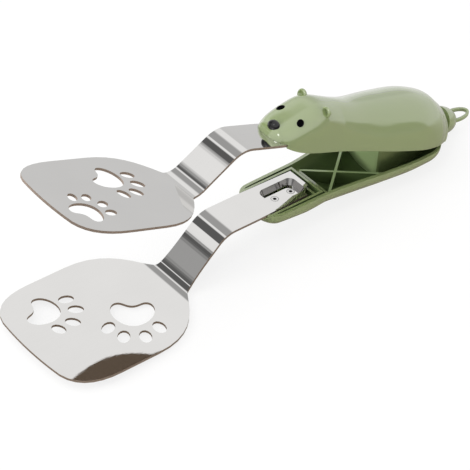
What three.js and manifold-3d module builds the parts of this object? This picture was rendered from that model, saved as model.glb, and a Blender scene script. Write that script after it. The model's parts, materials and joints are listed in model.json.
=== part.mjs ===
// Spatula tongs with a bear-shaped handle. Millimetres, +Z up, blades towards -X, tail towards +X.
// Both halves are drawn with the hinge axis at their origin and their closed rims on z = 0.
// The lower half lies on the table; the upper half is turned open about the hinge.
import * as THREE from 'three';
import Module from 'manifold-3d';
import { mergeVertices } from 'three/addons/utils/BufferGeometryUtils.js';

const wasm = await Module();
wasm.setup();

const DEGREE = Math.PI / 180;

// Travel
const openAngle = 19.25 * DEGREE;
const lockTravel = 3.5;

// Clearances
const rimGap = 1;
const seatGap = 0.3;
const slideGap = 0.3;
const fitGap = 0.15;
const runningGap = 0.08;
const overrun = 4;

// Handle shells, measured from the hinge axis
const bodyFront = 129.3;
const bodyRear = 18;
const bodyHalfWidth = 25.2;
const bodyHeight = 24.7;
const bodyWall = 2.2;
const bodyFrontRound = 4;
const bodyRearRound = 12;
const bellyRear = 8;
const bellyFront = 129;
const bellyDepth = 16.5;
const bellyWall = 2;
const bellyFrontRound = 12;
const bellyRearRound = 17;
const cheekFront = 125;
const cheekBack = 106;
const cheekRise = 2.6;
const ribThickness = 1.5;

// Steel arms
const sheet = 1.5;
const tangWidth = 24;
const tangEndWidth = 21.8;
const tangEnd = 88;
const topBendRadius = 17;
const baseBendRadius = 12;
const lowerSteel = {
  tangTop: 0, bendAt: 154, neckRun: 28, neckDrop: 27.5, bladeLength: 97, bladeWidth: 85.2,
  shoulderStart: 0, shoulderWidth: 29.4,
};
const upperSteel = {
  tangTop: 4.4, bendAt: 156.3, neckRun: 23.2, neckDrop: 27, bladeLength: 98.6, bladeWidth: 70,
  shoulderStart: 4.5, shoulderWidth: 27,
};

// Drawn pocket near the end of each tang, with its two screws
const pocketCentre = 103.6;
const pocketLength = 25;
const pocketWidth = 14.2;
const pocketDepth = 3.7;
const pocketDraft = 1.6;
const pocketCorner = 4;
const cornerNotch = 6;
const screwSpacing = 11.8;
const screwShift = 1;
const screwHead = 4.8;
const screwHeadHeight = 1.3;
const screwShank = 2.2;
const screwLength = 8;
const screwRecess = 1.9;
const postRadius = 3.4;

// Paw cut-outs. Ahead and size are shares of the blade's length, across is a share of its half-width.
// The size is half the width of the print's pad.
const lowerPrints = [
  { aheadShare: 0.7485, acrossShare: 0.453, turn: -134.5 * DEGREE, sizeShare: 0.1129 },
  { aheadShare: 0.3526, acrossShare: -0.23, turn: -55.4 * DEGREE, sizeShare: 0.1268 },
];
const upperPrints = [
  { aheadShare: 0.4503, acrossShare: 0.3714, turn: -135.8 * DEGREE, sizeShare: 0.1073 },
  { aheadShare: 0.8195, acrossShare: -0.4, turn: 144.1 * DEGREE, sizeShare: 0.0967 },
];

// Hinge, its housing in the lower shell and its lugs in the upper shell
const pinRadius = 1.5;
const barrelRadius = 5.2;
const barrelWall = 1.7;
const housingHalfWidth = 9.75;
const housingFront = 39;
const housingTop = 6.4;
const housingWall = 2;
const housingCorner = 3;
const housingLidBack = 24;
const tieReach = 20;
const lugThickness = 3;
const lugRadius = 5.2;

// Tray ribs and the frames that hold the tangs
const crossFront = 79;
const crossBack = 40;
const crossTop = 4.7;
const crossHalfFront = 13;
const crossHalfBack = 18.5;
const frameFront = 124;
const frameBack = 84.5;
const frameTop = 0.3;

// Torsion spring
const wireRadius = 0.5;
const coilRadius = 2.7;
const coilTurns = 5;
const coilPitch = 2.2;
const lowerLegReach = 22;
const lowerLegDrop = 9.5;
const upperLegReach = 22;
const upperLegRise = 10.4;
const legOffset = 6.2;

// Lock slider, running above the housing
const barHalfWidth = 4;
const barThickness = 2;
const barBottom = 8;
const barFront = 34;
const webThickness = 1.8;
const shaftRadius = 2.4;
const shaftHeight = 3;
const hookDrop = 5.8;
const hookLength = 3;
const hookToe = 3;
const toeThickness = 1.8;
const windowFront = 36;
const windowHalfWidth = 5;
const guideFront = 6;
const guideBack = 2;
const guideHalfWidth = 7;
const guideLip = 0.95;
const webAt = barrelRadius + slideGap;
const windowBack = barFront - hookLength - lockTravel - slideGap;

// Tail pull: a domed cap with a flat loop
const capRadius = 8.7;
const capDepth = 13;
const capCentre = 2.8;
const loopCentre = 31.5;
const loopHalfLength = 10.6;
const loopHalfWidth = 5.5;
const loopBand = 1.9;
const loopTop = 6.66;
const loopHeight = 2.4;
const loopLift = 15.6 * DEGREE;

// Face: beads and ears
const eyeAt = 115;
const eyeAcross = 8.4;
const eyeRadius = 2.1;
const eyeDepth = 0.6;
const noseAt = 126;
const noseHeight = 9.6;
const noseHalf = { deep: 3.2, wide: 4, tall: 3.8 };
const earAt = 98.1;
const earAcross = 10.2;
const earHeight = 22.2;
const earRadius = 3.4;
const earThickness = 3.6;
const earCupDepth = 1.4;

// Smoothness
const ringPoints = 17;
const middleRings = 18;
const endRings = 5;
const arcSteps = 8;
const pinSides = 24;

// Half-widths and heights of the handle along its length, as shares of the largest
const alongShares = [0.0168, 0.0572, 0.1246, 0.2054, 0.2997, 0.4343, 0.596, 0.7441, 0.8519, 0.9192];
const widthShares = [0.345, 0.54, 0.64, 0.687, 0.702, 0.794, 0.94, 1, 0.905, 0.73];
const heightShares = [0.36, 0.534, 0.781, 1, 0.964, 0.883, 0.947, 1, 0.927, 0.688];
const bellyShares = [0.62, 0.65, 0.668, 0.676, 0.683, 0.765, 0.9, 0.984, 0.97, 0.94];
const depthShares = [0.52, 0.63, 0.71, 0.785, 0.86, 0.93, 0.975, 1, 0.985, 0.95];

function monotone(xs, ys, x) {
  // Smooth interpolation that does not overshoot between the given stations.
  const last = xs.length - 1;
  if (x <= xs[0]) return ys[0];
  if (x >= xs[last]) return ys[last];
  const k = xs.findIndex((value) => value > x) - 1;
  const slope = (i) => (ys[i + 1] - ys[i]) / (xs[i + 1] - xs[i]);
  const tangent = (i) => {
    if (i === 0) return slope(0);
    if (i === last) return slope(last - 1);
    const before = slope(i - 1);
    const after = slope(i);
    return before * after <= 0 ? 0 : (2 * before * after) / (before + after);
  };
  const width = xs[k + 1] - xs[k];
  const t = (x - xs[k]) / width;
  const a = (2 * t - 3) * t * t + 1;
  const b = ((t - 2) * t + 1) * t;
  const c = (3 - 2 * t) * t * t;
  const d = (t - 1) * t * t;
  return a * ys[k] + b * width * tangent(k) + c * ys[k + 1] + d * width * tangent(k + 1);
}

// Solids

function solid(geometry) {
  const bare = geometry.clone();
  bare.deleteAttribute('normal');
  bare.deleteAttribute('uv');
  const merged = mergeVertices(bare);
  const mesh = new wasm.Mesh({
    numProp: 3,
    vertProperties: Float32Array.from(merged.attributes.position.array),
    triVerts: Uint32Array.from(merged.index.array),
  });
  return new wasm.Manifold(mesh);
}

function geometryOf(body) {
  const mesh = body.getMesh();
  const geometry = new THREE.BufferGeometry();
  geometry.setAttribute('position', new THREE.BufferAttribute(Float32Array.from(mesh.vertProperties), 3));
  geometry.setIndex(new THREE.BufferAttribute(Uint32Array.from(mesh.triVerts), 1));
  return geometry;
}

function join(bodies) {
  return bodies.reduce((whole, body) => whole.add(body));
}

function cut(body, tools) {
  return tools.reduce((rest, tool) => rest.subtract(tool), body);
}

function block(x, y, z) {
  // A box between two x, two y and two z values.
  const box = new THREE.BoxGeometry(x[1] - x[0], y[1] - y[0], z[1] - z[0]);
  return solid(box.translate((x[0] + x[1]) / 2, (y[0] + y[1]) / 2, (z[0] + z[1]) / 2));
}

function drawnUp(shape, bottom, top) {
  // A plan view pulled up from one height to another.
  const geometry = new THREE.ExtrudeGeometry(shape, { depth: top - bottom, bevelEnabled: false, curveSegments: arcSteps });
  return solid(geometry.translate(0, 0, bottom));
}

function drawnAcross(shape, left, right) {
  // A side view in x and z, pulled from one y to another.
  const geometry = new THREE.ExtrudeGeometry(shape, { depth: right - left, bevelEnabled: false, curveSegments: arcSteps });
  return solid(geometry.rotateX(Math.PI / 2).translate(0, right, 0));
}

function barAcross(radius, x, z, left, right) {
  // A round bar along y.
  const geometry = new THREE.CylinderGeometry(radius, radius, right - left, pinSides);
  return solid(geometry.translate(x, (left + right) / 2, z));
}

function loft(rings) {
  // Joins rings of equal point counts into one closed skin, with a flat fan at each end.
  const count = rings[0].length;
  const points = rings.flat();
  const faces = [];
  for (let r = 0; r + 1 < rings.length; r += 1) {
    for (let i = 0; i < count; i += 1) {
      const j = (i + 1) % count;
      const a = r * count + i;
      const b = r * count + j;
      faces.push(a, b, b + count, a, b + count, a + count);
    }
  }
  for (let i = 1; i + 1 < count; i += 1) {
    const end = (rings.length - 1) * count;
    faces.push(0, i + 1, i);
    faces.push(end, end + i, end + i + 1);
  }
  const geometry = new THREE.BufferGeometry();
  geometry.setAttribute('position', new THREE.Float32BufferAttribute(points.flatMap((p) => [p.x, p.y, p.z]), 3));
  geometry.setIndex(faces);
  return solid(geometry);
}

// Handle forms

const stations = alongShares.map((share) => share * (bodyFront + bodyRear) - bodyFront);

const upperForm = {
  side: 1, front: bodyFront, rear: bodyRear, frontRound: bodyFrontRound, rearRound: bodyRearRound, rearPower: 1.46,
  widths: widthShares, heights: heightShares, height: bodyHeight,
};
const lowerForm = {
  side: -1, front: bellyFront, rear: bellyRear, frontRound: bellyFrontRound, rearRound: bellyRearRound, rearPower: 2.2,
  widths: bellyShares, heights: depthShares, height: bellyDepth,
};

function squareness(x) {
  // The head is squarer in section than the oval body.
  const headPower = 2.7;
  const bodyPower = 2;
  const neckFront = -0.75 * bodyFront;
  const neckBack = -0.64 * bodyFront;
  const t = THREE.MathUtils.clamp((x - neckFront) / (neckBack - neckFront), 0, 1);
  return THREE.MathUtils.lerp(headPower, bodyPower, t);
}

function lengthwise(form, inset) {
  // Places of the cross-sections, closer together on the rounded ends, with how full each one is.
  const front = -form.front + inset;
  const frontEnd = -form.front + form.frontRound + inset;
  const rear = form.rear - inset;
  const rearEnd = form.rear - form.rearRound;
  const places = [];
  for (let i = 0; i < endRings; i += 1) {
    const share = Math.sin((i + 0.4) / (endRings + 0.4) * Math.PI / 2);
    places.push({ x: frontEnd - (1 - share ** 2) ** 0.5 * (frontEnd - front), full: share });
  }
  for (let i = 0; i <= middleRings; i += 1) {
    places.push({ x: THREE.MathUtils.lerp(frontEnd, rearEnd, i / middleRings), full: 1 });
  }
  for (let i = endRings - 1; i >= 0; i -= 1) {
    const share = Math.sin((i + 0.4) / (endRings + 0.4) * Math.PI / 2);
    places.push({ x: rearEnd + (1 - share ** form.rearPower) ** (1 / form.rearPower) * (rear - rearEnd), full: share });
  }
  return places;
}

function shellForm(form, inset, skirt) {
  // One half of the handle as a solid. inset moves its skin inwards; a skirt pulls its open side past the rim.
  const rim = rimGap / 2;
  const rings = lengthwise(form, inset).map(({ x, full }) => {
    const halfWidth = (monotone(stations, form.widths, x) * bodyHalfWidth - inset) * full;
    const rise = (monotone(stations, form.heights, x) * form.height - inset - rim) * full;
    const power = 2 / squareness(x);
    const ring = [];
    if (skirt > 0) ring.push(new THREE.Vector3(x, halfWidth, form.side * (rim - skirt)));
    for (let i = 0; i < ringPoints; i += 1) {
      const angle = Math.PI * i / (ringPoints - 1);
      const across = Math.sign(Math.cos(angle)) * Math.abs(Math.cos(angle)) ** power;
      const up = Math.abs(Math.sin(angle)) ** power;
      ring.push(new THREE.Vector3(x, across * halfWidth, form.side * (rim + up * rise)));
    }
    if (skirt > 0) ring.push(new THREE.Vector3(x, -halfWidth, form.side * (rim - skirt)));
    return form.side > 0 ? ring : ring.reverse();
  });
  return loft(rings);
}

function bearTop(x, y) {
  // Height of the bear's outer surface above a point of its plan.
  const halfWidth = monotone(stations, widthShares, x) * bodyHalfWidth;
  const rise = monotone(stations, heightShares, x) * bodyHeight - rimGap / 2;
  const n = squareness(x);
  return rimGap / 2 + rise * Math.max(0, 1 - (Math.abs(y) / halfWidth) ** n) ** (1 / n);
}

// Steel arms

function bentSheet(steel) {
  // Side view of a cranked strip: tang, top bend, neck, base bend, blade. The path is its top face.
  const neckAngle = Math.atan2(steel.neckDrop, steel.neckRun);
  const neckLength = Math.hypot(steel.neckDrop, steel.neckRun);
  const topTangent = topBendRadius * Math.tan(neckAngle / 2);
  const baseTangent = baseBendRadius * Math.tan(neckAngle / 2);
  const place = { x: -tangEnd, z: steel.tangTop, heading: Math.PI };
  const top = [];
  const under = [];
  const mark = () => {
    top.push(new THREE.Vector2(place.x, place.z));
    under.unshift(new THREE.Vector2(place.x - sheet * Math.sin(place.heading), place.z + sheet * Math.cos(place.heading)));
  };
  const straight = (length) => {
    place.x += length * Math.cos(place.heading);
    place.z += length * Math.sin(place.heading);
    mark();
  };
  const bend = (radius, angle) => {
    const step = angle / arcSteps;
    const chord = 2 * radius * Math.sin(Math.abs(step) / 2);
    for (let i = 0; i < arcSteps; i += 1) {
      place.heading += step / 2;
      place.x += chord * Math.cos(place.heading);
      place.z += chord * Math.sin(place.heading);
      place.heading += step / 2;
      mark();
    }
  };
  mark();
  straight(steel.bendAt - tangEnd - topTangent);
  bend(topBendRadius, neckAngle);
  straight(neckLength - topTangent - baseTangent);
  bend(baseBendRadius, -neckAngle);
  straight(steel.bladeLength + overrun);
  return new THREE.Shape([...top, ...under]);
}

function padShape(size, toPlan) {
  // A rounded pad, hollowed on its heel side. The shares are of half its width.
  const at = (acrossShare, aheadShare) => toPlan(acrossShare * size, aheadShare * size);
  const path = new THREE.Shape();
  const start = at(0, 0.83);
  path.moveTo(start.x, start.y);
  const bow = (a, b, c) => path.bezierCurveTo(a.x, a.y, b.x, b.y, c.x, c.y);
  for (const side of [1, -1]) {
    const half = [
      [at(side * 0.53, 0.83), at(side, 0.24), at(side, -0.24)],
      [at(side, -0.53), at(side * 0.85, -0.75), at(side * 0.63, -0.75)],
      [at(side * 0.41, -0.75), at(side * 0.28, -0.53), at(0, -0.53)],
    ];
    if (side > 0) half.forEach(([a, b, c]) => bow(a, b, c));
    if (side < 0) half.reverse().forEach(([a, b], i, list) => bow(b, a, i + 1 < list.length ? list[i + 1][2] : start));
  }
  return path;
}

function toeShape(size, toPlan, acrossShare, aheadShare, splay) {
  const toeHalf = { wide: 0.29 * size, long: 0.41 * size };
  const toeSteps = 14;
  const points = [];
  for (let i = 0; i < toeSteps; i += 1) {
    const angle = 2 * Math.PI * i / toeSteps;
    const wide = toeHalf.wide * Math.cos(angle);
    const long = toeHalf.long * Math.sin(angle);
    const across = acrossShare * size + wide * Math.cos(splay) + long * Math.sin(splay);
    const ahead = aheadShare * size - wide * Math.sin(splay) + long * Math.cos(splay);
    points.push(toPlan(across, ahead));
  }
  return new THREE.Shape(points);
}

function pawPrint(print, steel, low, high) {
  // Pad and four toes. Across and ahead are measured in the print's own frame.
  const x = -(steel.bendAt + steel.neckRun) - print.aheadShare * steel.bladeLength;
  const y = print.acrossShare * steel.bladeWidth / 2;
  const size = print.sizeShare * steel.bladeLength;
  const toPlan = (across, ahead) => new THREE.Vector2(
    x - ahead * Math.cos(print.turn) + across * Math.sin(print.turn),
    y + ahead * Math.sin(print.turn) + across * Math.cos(print.turn),
  );
  const innerSplay = 8 * DEGREE;
  const outerSplay = 26 * DEGREE;
  const toes = [-1, 1].flatMap((side) => [
    toeShape(size, toPlan, side * 0.48, 1.52, side * innerSplay),
    toeShape(size, toPlan, side * 1.13, 0.92, side * outerSplay),
  ]);
  return [padShape(size, toPlan), ...toes].map((shape) => drawnUp(shape, low, high));
}

function armPlan(steel) {
  // Plan view of a whole arm: tapered tang, neck, shoulders, sides and gently bowed front edge.
  const base = -(steel.bendAt + steel.neckRun);
  const half = steel.bladeWidth / 2;
  const long = steel.bladeLength;
  const sideStart = 0.43 * long;
  const sideEnd = 0.69 * long;
  const frontHalf = 0.47 * half;
  const cornerFront = 0.99 * long;
  const shoulder = { ahead: steel.shoulderStart, across: steel.shoulderWidth / 2 };
  const grow = { ahead: sideStart - shoulder.ahead, across: half - shoulder.across };
  const lean = { ahead: 0.225 * grow.ahead, across: 0.58 * grow.across };
  const flare = (shoulder.across - tangWidth / 2) / lean.across;
  const shape = new THREE.Shape();
  const at = (ahead, across) => [base - ahead, across];
  shape.moveTo(-tangEnd, tangEndWidth / 2);
  shape.lineTo(-bodyFront, tangWidth / 2);
  shape.lineTo(...at(shoulder.ahead - topBendRadius, tangWidth / 2));
  shape.quadraticCurveTo(...at(shoulder.ahead - flare * lean.ahead, tangWidth / 2), ...at(shoulder.ahead, shoulder.across));
  shape.bezierCurveTo(...at(shoulder.ahead + lean.ahead, shoulder.across + lean.across),
    ...at(shoulder.ahead + 0.475 * grow.ahead, half), ...at(sideStart, half));
  shape.lineTo(...at(sideEnd, half));
  shape.bezierCurveTo(...at(sideEnd + 0.6 * (cornerFront - sideEnd), half),
    ...at(sideEnd + 0.987 * (cornerFront - sideEnd), half - 0.28 * (half - frontHalf)), ...at(cornerFront, frontHalf));
  shape.quadraticCurveTo(...at(long, frontHalf / 2), ...at(long, 0));
  const rightHalf = shape.getPoints(arcSteps);
  const leftHalf = rightHalf.slice(0, -1).reverse().map((p) => new THREE.Vector2(p.x, -p.y));
  return new THREE.Shape([...rightHalf, ...leftHalf]);
}

function roundedRectangle(centreX, halfX, halfY, corner) {
  const shape = new THREE.Shape();
  const quarter = Math.PI / 2;
  const corners = [[1, 1, 0], [-1, 1, 1], [-1, -1, 2], [1, -1, 3]];
  corners.forEach(([sx, sy, turn]) => {
    shape.absarc(centreX + sx * (halfX - corner), sy * (halfY - corner), corner, turn * quarter, (turn + 1) * quarter);
  });
  return shape;
}

function pocketForm(steel, grow, above, side) {
  // A drawn pocket with slanting walls. grow widens it for the outside of the sheet.
  const ring = (halfX, halfY, corner, z) => roundedRectangle(-pocketCentre, halfX, halfY, corner)
    .getPoints(arcSteps / 2).slice(0, -1).map((p) => new THREE.Vector3(p.x, p.y, z));
  const mouth = side < 0 ? steel.tangTop : steel.tangTop - sheet;
  const depth = pocketDepth + grow;
  const top = ring(pocketLength / 2 + grow, pocketWidth / 2 + grow, pocketCorner + grow, mouth - side * above);
  const neck = ring(pocketLength / 2 + grow, pocketWidth / 2 + grow, pocketCorner + grow, mouth);
  const floor = ring(pocketLength / 2 - pocketDraft + grow, pocketWidth / 2 - pocketDraft + grow,
    pocketCorner - pocketDraft / 2 + grow, mouth + side * depth);
  const rings = above > 0 ? [top, neck, floor] : [neck, floor];
  return loft(side < 0 ? rings.reverse() : rings);
}

function pocketFace(steel, side) {
  // Height of the pocket floor on its open side.
  return (side < 0 ? steel.tangTop : steel.tangTop - sheet) + side * pocketDepth;
}

function screwPlaces() {
  return [-1, 1].map((side) => -pocketCentre + screwShift + side * screwSpacing / 2);
}

function steelArm(steel, prints, side) {
  // side is the way the pocket is drawn: -1 down, 1 up.
  const reach = steel.bladeWidth;
  const strip = drawnAcross(bentSheet(steel), -reach, reach);
  const high = steel.tangTop + overrun;
  const low = steel.tangTop - steel.neckDrop - sheet - overrun;
  const plan = drawnUp(armPlan(steel), low, high);
  const flat = strip.intersect(cut(plan, prints.flatMap((print) => pawPrint(print, steel, low, high))));
  const cup = pocketForm(steel, sheet, 0, side);
  const hollow = pocketForm(steel, 0, overrun, side);
  const holes = screwPlaces().map((x) => screwSeat(x, pocketFace(steel, side), side));
  const notch = block([-tangEnd - cornerNotch, -tangEnd + overrun], [-tangWidth, -tangEndWidth / 2 + cornerNotch],
    [steel.tangTop - sheet - overrun, steel.tangTop + overrun]);
  return cut(flat.subtract(notch).add(cup), [hollow, ...holes]);
}

// Screws: the head faces the open side of the pocket

function screwProfile(grow, length, recessed) {
  const head = screwHead / 2 + grow;
  const shank = screwShank / 2 + grow;
  const points = [new THREE.Vector2(0, -length), new THREE.Vector2(shank, -length), new THREE.Vector2(shank, -screwHeadHeight)];
  points.push(new THREE.Vector2(head, recessed ? 0 : grow));
  if (recessed) {
    const recess = screwRecess / 2;
    points.push(new THREE.Vector2(recess, 0), new THREE.Vector2(recess / 2, -screwHeadHeight * 0.6), new THREE.Vector2(0, -screwHeadHeight * 0.6));
  } else {
    points.push(new THREE.Vector2(0, grow));
  }
  return points;
}

function screwAlong(x, face, side, profile) {
  // A lathe about z with its head at the face: side -1 points the shank down, 1 points it up.
  const geometry = new THREE.LatheGeometry(profile, pinSides / 2).rotateX(Math.PI / 2);
  if (side > 0) geometry.rotateX(Math.PI);
  return solid(geometry.translate(x, 0, face));
}

function screwSeat(x, face, side) {
  return screwAlong(x, face, side, screwProfile(fitGap, screwLength + overrun, false));
}

function screwBody(x, steel, side) {
  return screwAlong(x, pocketFace(steel, side), side, screwProfile(0, screwLength, true));
}

// Shared inside features

function tangFrame(near, far, front) {
  // Walls beside the tang and one behind it, between two heights.
  const inner = tangWidth / 2 + seatGap;
  const outer = inner + ribThickness;
  const walls = block([-front, -frameBack - ribThickness], [-outer, outer], [near, far]);
  const room = block([-front - overrun, -frameBack], [-inner, inner], [near - overrun, far + overrun]);
  const behind = block([-frameBack - ribThickness, -frameBack], [-outer, outer], [near, far]);
  return walls.subtract(room).add(behind);
}

function screwPosts(near, far) {
  return screwPlaces().map((x) => {
    const post = new THREE.CylinderGeometry(postRadius, postRadius, far - near, pinSides / 2);
    return solid(post.rotateX(Math.PI / 2).translate(x, 0, (near + far) / 2));
  });
}

// Lower shell

function hingeHousing() {
  // An open-topped box with a barrel for the pin and spring, and a lid that the lock hooks under.
  const half = housingFront / 2;
  const box = drawnUp(roundedRectangle(-half, half, housingHalfWidth, housingCorner), -bellyDepth, housingTop);
  const side = new THREE.Shape();
  side.moveTo(-housingFront, -bellyDepth);
  side.lineTo(0, -bellyDepth);
  side.lineTo(0, barrelRadius);
  side.lineTo(-barrelRadius, housingTop);
  side.lineTo(-housingFront, housingTop);
  const body = box.intersect(drawnAcross(side, -housingHalfWidth, housingHalfWidth));
  const inner = housingHalfWidth - housingWall;
  const roomFront = -housingFront + housingWall;
  const room = block([roomFront, 0], [-inner, inner], [-bellyDepth - overrun, housingTop - housingWall]);
  const opening = block([-housingLidBack, 0], [-inner, inner], [-rimGap, housingTop + overrun]);
  const window = block([-windowFront, -windowBack], [-windowHalfWidth, windowHalfWidth], [0, housingTop + overrun]);
  return { body, spaces: [room, opening, window] };
}

function hingeBarrel() {
  const inner = housingHalfWidth - housingWall;
  const body = barAcross(barrelRadius, 0, 0, -housingHalfWidth, housingHalfWidth);
  const room = barAcross(barrelRadius - barrelWall, 0, 0, -inner, inner);
  const legWay = block([-barrelRadius - overrun, barrelWall], [-inner, inner], [-barrelRadius + barrelWall, barrelRadius + overrun]);
  return { body, spaces: [room, legWay] };
}

function crossRibs() {
  const run = crossFront - crossBack;
  const ribs = [-1, 1].map((side) => {
    const rise = side * (crossHalfBack + crossHalfFront);
    const length = Math.hypot(run, rise);
    const rib = new THREE.BoxGeometry(length, ribThickness, bellyDepth);
    rib.rotateZ(Math.atan2(rise, run));
    return solid(rib.translate(-(crossFront + crossBack) / 2, side * (crossHalfBack - crossHalfFront) / 2, -crossTop - bellyDepth / 2));
  });
  const straight = block([-crossFront - ribThickness, -crossFront], [-bodyHalfWidth, bodyHalfWidth], [-bellyDepth, -crossTop]);
  return join([...ribs, straight]);
}

function lowerShell() {
  const outer = shellForm(lowerForm, 0, 0);
  const swing = new THREE.BoxGeometry(2 * bellyRear, 2 * bodyHalfWidth, bellyDepth).translate(bellyRear, 0, bellyDepth / 2);
  const tray = cut(outer, [shellForm(lowerForm, bellyWall, overrun), solid(swing.rotateY(openAngle))]);
  const wide = [-bodyHalfWidth, bodyHalfWidth];
  const seatTop = lowerSteel.tangTop - sheet - seatGap;
  const cupBottom = lowerSteel.tangTop - pocketDepth - sheet - seatGap;
  const frame = tangFrame(-bellyDepth, -frameTop, frameFront);
  const seats = [frameFront, tangEnd + ribThickness]
    .map((x) => block([-x, -x + ribThickness], wide, [-bellyDepth, seatTop]));
  const posts = screwPosts(-bellyDepth, cupBottom);
  const legRest = block([-lowerLegReach - ribThickness, -lowerLegReach + ribThickness], [-housingHalfWidth, housingHalfWidth],
    [-bellyDepth, -lowerLegDrop - wireRadius - seatGap]);
  const tie = block([-housingFront, -housingFront + housingWall], [0, tieReach], [-bellyDepth, -frameTop - rimGap]);
  const housing = hingeHousing();
  const barrel = hingeBarrel();
  const above = block([-bodyFront, 0], wide, [-rimGap / 2, bodyHeight]);
  const knuckle = cut(housing.body.intersect(outer.add(above)).add(barrel.body), [...housing.spaces, ...barrel.spaces]);
  const fittings = join([frame, ...seats, ...posts, crossRibs(), tie]).intersect(outer);
  const half = tangWidth / 2 + seatGap;
  const mouth = block([-bodyFront - overrun, -bellyFront + bellyFrontRound + bellyWall], [-half, half], [seatTop, overrun]);
  const pinHole = barAcross(pinRadius + runningGap, 0, 0, -housingHalfWidth - overrun, housingHalfWidth + overrun);
  const lugIn = housingHalfWidth + fitGap;
  const lugOut = housingHalfWidth + slideGap + lugThickness + slideGap;
  const lugRoom = barAcross(lugRadius + slideGap, 0, 0, -lugOut, lugOut).subtract(barAcross(lugRadius * 2, 0, 0, -lugIn, lugIn));
  const bores = screwPlaces().map((x) => screwSeat(x, pocketFace(lowerSteel, -1), -1));
  return cut(join([tray, knuckle, fittings, legRest.intersect(outer)]), [mouth, pinHole, lugRoom, ...bores]);
}

// Upper shell

function ear(side) {
  // A thick rounded disc, cupped on its front.
  const disc = new THREE.SphereGeometry(earRadius, 16, 12).scale(earThickness / 2 / earRadius, 1, 1);
  const cup = new THREE.SphereGeometry(earRadius * 0.6, 12, 8).scale(earCupDepth / (earRadius * 0.6), 1, 1).translate(-earThickness / 2, 0, 0);
  const tilt = -20 * DEGREE * side;
  const place = (geometry) => solid(geometry.rotateX(tilt).translate(-earAt, side * earAcross, earHeight));
  return { disc: place(disc), cup: place(cup) };
}

function eyeBead(side, grow) {
  // A flat bead set into the head, facing straight out of its skin.
  const x = -eyeAt;
  const y = side * eyeAcross;
  const step = eyeRadius / 2;
  const slopeX = (bearTop(x + step, y) - bearTop(x - step, y)) / (2 * step);
  const slopeY = (bearTop(x, y + step) - bearTop(x, y - step)) / (2 * step);
  const normal = new THREE.Vector3(-slopeX, -slopeY, 1).normalize();
  const turn = new THREE.Quaternion().setFromUnitVectors(new THREE.Vector3(0, 0, 1), normal);
  const geometry = new THREE.SphereGeometry(1, 16, 8).rotateX(Math.PI / 2);
  geometry.scale(eyeRadius + grow, eyeRadius + grow, eyeDepth + grow).applyQuaternion(turn);
  return solid(geometry.translate(x, y, bearTop(x, y)));
}

function noseBead(grow) {
  const geometry = new THREE.SphereGeometry(1, 16, 10);
  geometry.scale(noseHalf.deep + grow, noseHalf.wide + grow, noseHalf.tall + grow);
  return solid(geometry.translate(-noseAt + noseHalf.deep / 2, 0, noseHeight));
}

function lockGuide() {
  // A hanging block that the slider's bar runs through.
  const bottom = barBottom - slideGap - guideLip;
  const body = block([-guideFront, guideBack], [-guideHalfWidth, guideHalfWidth], [bottom, bodyHeight]);
  const slot = barSpace(slideGap);
  return { body, slot };
}

function barSpace(grow) {
  return block([-bodyFront / 2, webAt + webThickness], [-barHalfWidth - grow, barHalfWidth + grow], [barBottom - grow, barBottom + barThickness + grow]);
}

function hingeLug(side) {
  const inner = housingHalfWidth + slideGap;
  const outer = inner + lugThickness;
  const shape = new THREE.Shape();
  shape.moveTo(-lugRadius, bodyHeight);
  shape.absarc(0, 0, lugRadius, Math.PI, 2 * Math.PI);
  shape.lineTo(lugRadius, bodyHeight);
  return drawnAcross(shape, Math.min(side * inner, side * outer), Math.max(side * inner, side * outer));
}

function cheekRelief() {
  // Rounds the lower front corner of the head away from the rim.
  const shape = new THREE.Shape();
  shape.moveTo(-cheekBack, rimGap / 2);
  shape.quadraticCurveTo(-(cheekFront + cheekBack) / 2, rimGap / 2, -cheekFront, rimGap / 2 + cheekRise);
  shape.lineTo(-bodyFront - overrun, rimGap / 2 + cheekRise);
  shape.lineTo(-bodyFront - overrun, -overrun);
  shape.lineTo(-cheekBack, -overrun);
  return drawnAcross(shape, -bodyHalfWidth, bodyHalfWidth);
}

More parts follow.
